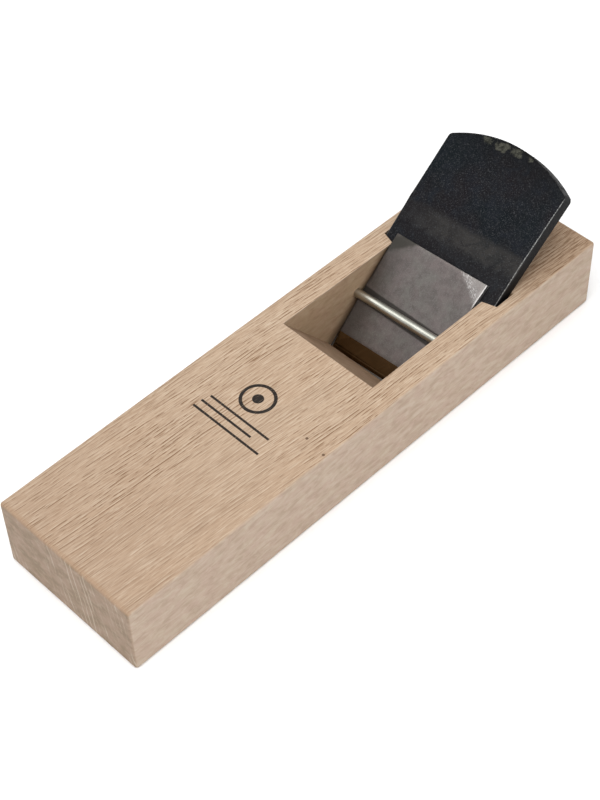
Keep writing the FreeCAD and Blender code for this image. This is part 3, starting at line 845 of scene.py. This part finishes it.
def chip_iron(material):
    low_right, low_left = chip_side(CHIP_WELD)
    high_right, high_left = chip_side(CHIP_LENGTH)
    outline = [
        (CHIP_WELD, low_left),
        (CHIP_WELD, low_right),
        (CHIP_LENGTH, high_right),
        (CHIP_LENGTH, high_left),
    ]

    def top(u, v):
        return chip_top(u) - corner_drop(u, v)

    def bottom(u, v):
        return chip_weld(u) - corner_drop(u, v)

    def top_round(u, v):
        return 0.14 * smooth(3.0, 6.0, u) * smooth(51.0, 47.0, u) + 0.08

    def bottom_round(u, v):
        return 0.12 * smooth(CHIP_STEEL_LENGTH, CHIP_STEEL_LENGTH + 3.0, u)

    bm = plate(outline, top, bottom, (top_round, bottom_round), CHIP_RINGS, CHIP_STEP)
    bm.transform(TO_METRES @ CHIP)
    slot, replaced = "chipbreaker_iron", ["chipbreaker_iron"]
    return finish_piece("chipbreaker_plate", bm, "chipbreaker", material, replaced, CHIP_SHARP)


def chip_steel(material):
    top_right, top_left = chip_side(CHIP_STEEL_LENGTH)
    outline = [
        (0.0, CHIP_HALF),
        (0.0, -CHIP_HALF),
        (CHIP_STEEL_LENGTH, top_right),
        (CHIP_STEEL_LENGTH, top_left),
    ]

    def top(u, v):
        return min(chip_top(u), chip_weld(u))

    bm = plate(outline, top, level, (level, level), CHIP_STEEL_RINGS, CHIP_STEP)
    bm.transform(TO_METRES @ CHIP)
    slot, replaced = "edge_steel", ["chipbreaker_steel"]
    return finish_piece("chipbreaker_hard_layer", bm, "chipbreaker", material, replaced, CHIP_SHARP)


# ---------------------------------------------------------------------------
# The object
# ---------------------------------------------------------------------------

oak = make_oak()
scale = make_forge_scale("forged_iron")
face_steel = make_forge_scale("blade_face", BARE_BELOW)
chip_metal = make_chip_steel()
pin_steel = make_pin_steel()

wood_body(oak)
blade_iron(scale)
blade_steel(face_steel)
chip_iron(chip_metal)
chip_steel(chip_metal)
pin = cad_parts["pressure_pin"]
for index in range(len(pin.material_slots)):
    pin.material_slots[index].material = pin_steel

# ---------------------------------------------------------------------------
# Studio, in metres
# ---------------------------------------------------------------------------

# Each softbox is its name, its place, the place it points at, its size and its power.
SOFTBOXES = (
    ("overhead", (-0.30, -0.20, 1.1), (0.0, 0.0, 0.0), (1.0, 1.0), 11.0),
    ("right_box", (0.15, -1.2, 0.6), (0.0, 0.0, 0.0), (1.0, 0.8), 2.0),
    ("front_box", (-1.2, -0.45, 0.55), (0.0, 0.0, 0.0), (0.9, 0.7), 1.0),
    ("far_box", (-0.08, 0.60, 1.05), (0.04, 0.0, 0.02), (0.9, 0.5), 1.8),
)
AT_HORIZON, OVERHEAD = 0.8, 0.6

# The floor lies a hair under the sole.
FLOOR_HALF, FLOOR_DROP = 6.0, -0.00005
PAPER_DARK, PAPER_PALE = (0.93, 0.93, 0.93), (0.95, 0.95, 0.95)

# The camera's place and axes. Its lens and sensor are in millimetres.
CAMERA_PLACE = (-0.30547, -0.31614, 0.52192)
CAMERA_RIGHT = Vector((0.70759, -0.70618, -0.02503))
CAMERA_ABOVE = Vector((0.54621, 0.52414, 0.65340))
CAMERA_FORWARD = Vector((0.44830, 0.47601, -0.75660))
LENS_LENGTH, SENSOR_WIDTH, CLIP_START = 81.31, 36.0, 0.01

scene = bpy.context.scene
scene.view_settings.view_transform = "Standard"


def add_floor():
    shader = Shader("floor")
    paper = shader.noise(shader.spread(shader.place, 40.0, 40.0, 40.0), detail=3.0)
    shader.finish(Base_Color=shader.mix(paper, PAPER_DARK, PAPER_PALE), Roughness=0.9)
    mesh = bpy.data.meshes.new("floor")
    corners = [(FLOOR_HALF * x, FLOOR_HALF * y, FLOOR_DROP) for x, y in ((-1, -1), (1, -1), (1, 1), (-1, 1))]
    mesh.from_pydata(corners, [], [(0, 1, 2, 3)])
    mesh.materials.append(shader.material)
    floor = bpy.data.objects.new("floor", mesh)
    scene.collection.objects.link(floor)


def add_softbox(name, place, aim, size, power):
    lamp = bpy.data.lights.new(name, "AREA")
    lamp.shape = "RECTANGLE"
    lamp.size, lamp.size_y = size
    lamp.energy = power
    box = bpy.data.objects.new(name, lamp)
    box.location = place
    box.rotation_euler = (Vector(aim) - Vector(place)).to_track_quat("-Z", "Y").to_euler()
    scene.collection.objects.link(box)


def add_camera():
    lens = bpy.data.cameras.new("camera")
    lens.lens, lens.sensor_width, lens.clip_start = LENS_LENGTH, SENSOR_WIDTH, CLIP_START
    camera = bpy.data.objects.new("camera", lens)
    turn = Matrix((CAMERA_RIGHT, CAMERA_ABOVE, -CAMERA_FORWARD)).transposed().to_4x4()
    camera.matrix_world = Matrix.Translation(CAMERA_PLACE) @ turn
    scene.collection.objects.link(camera)
    scene.camera = camera


def add_world():
    """A pale surround that is brightest at the horizon and greyer overhead."""
    world = bpy.data.worlds.new("studio")
    scene.world = world
    world.use_nodes = True
    nodes, links = world.node_tree.nodes, world.node_tree.links
    height = nodes.new("ShaderNodeSeparateXYZ")
    links.new(nodes.new("ShaderNodeTexCoord").outputs["Generated"], height.inputs[0])
    fade = nodes.new("ShaderNodeMapRange")
    fade.interpolation_type = "SMOOTHSTEP"
    links.new(height.outputs[2], fade.inputs["Value"])
    for name, value in (("From Min", 0.05), ("From Max", 0.40), ("To Min", AT_HORIZON), ("To Max", OVERHEAD)):
        fade.inputs[name].default_value = value
    links.new(fade.outputs[0], nodes["Background"].inputs["Strength"])
    nodes["Background"].inputs["Color"].default_value = (1.0, 1.0, 1.0, 1.0)


add_world()
add_floor()
for softbox in SOFTBOXES:
    add_softbox(*softbox)
add_camera()
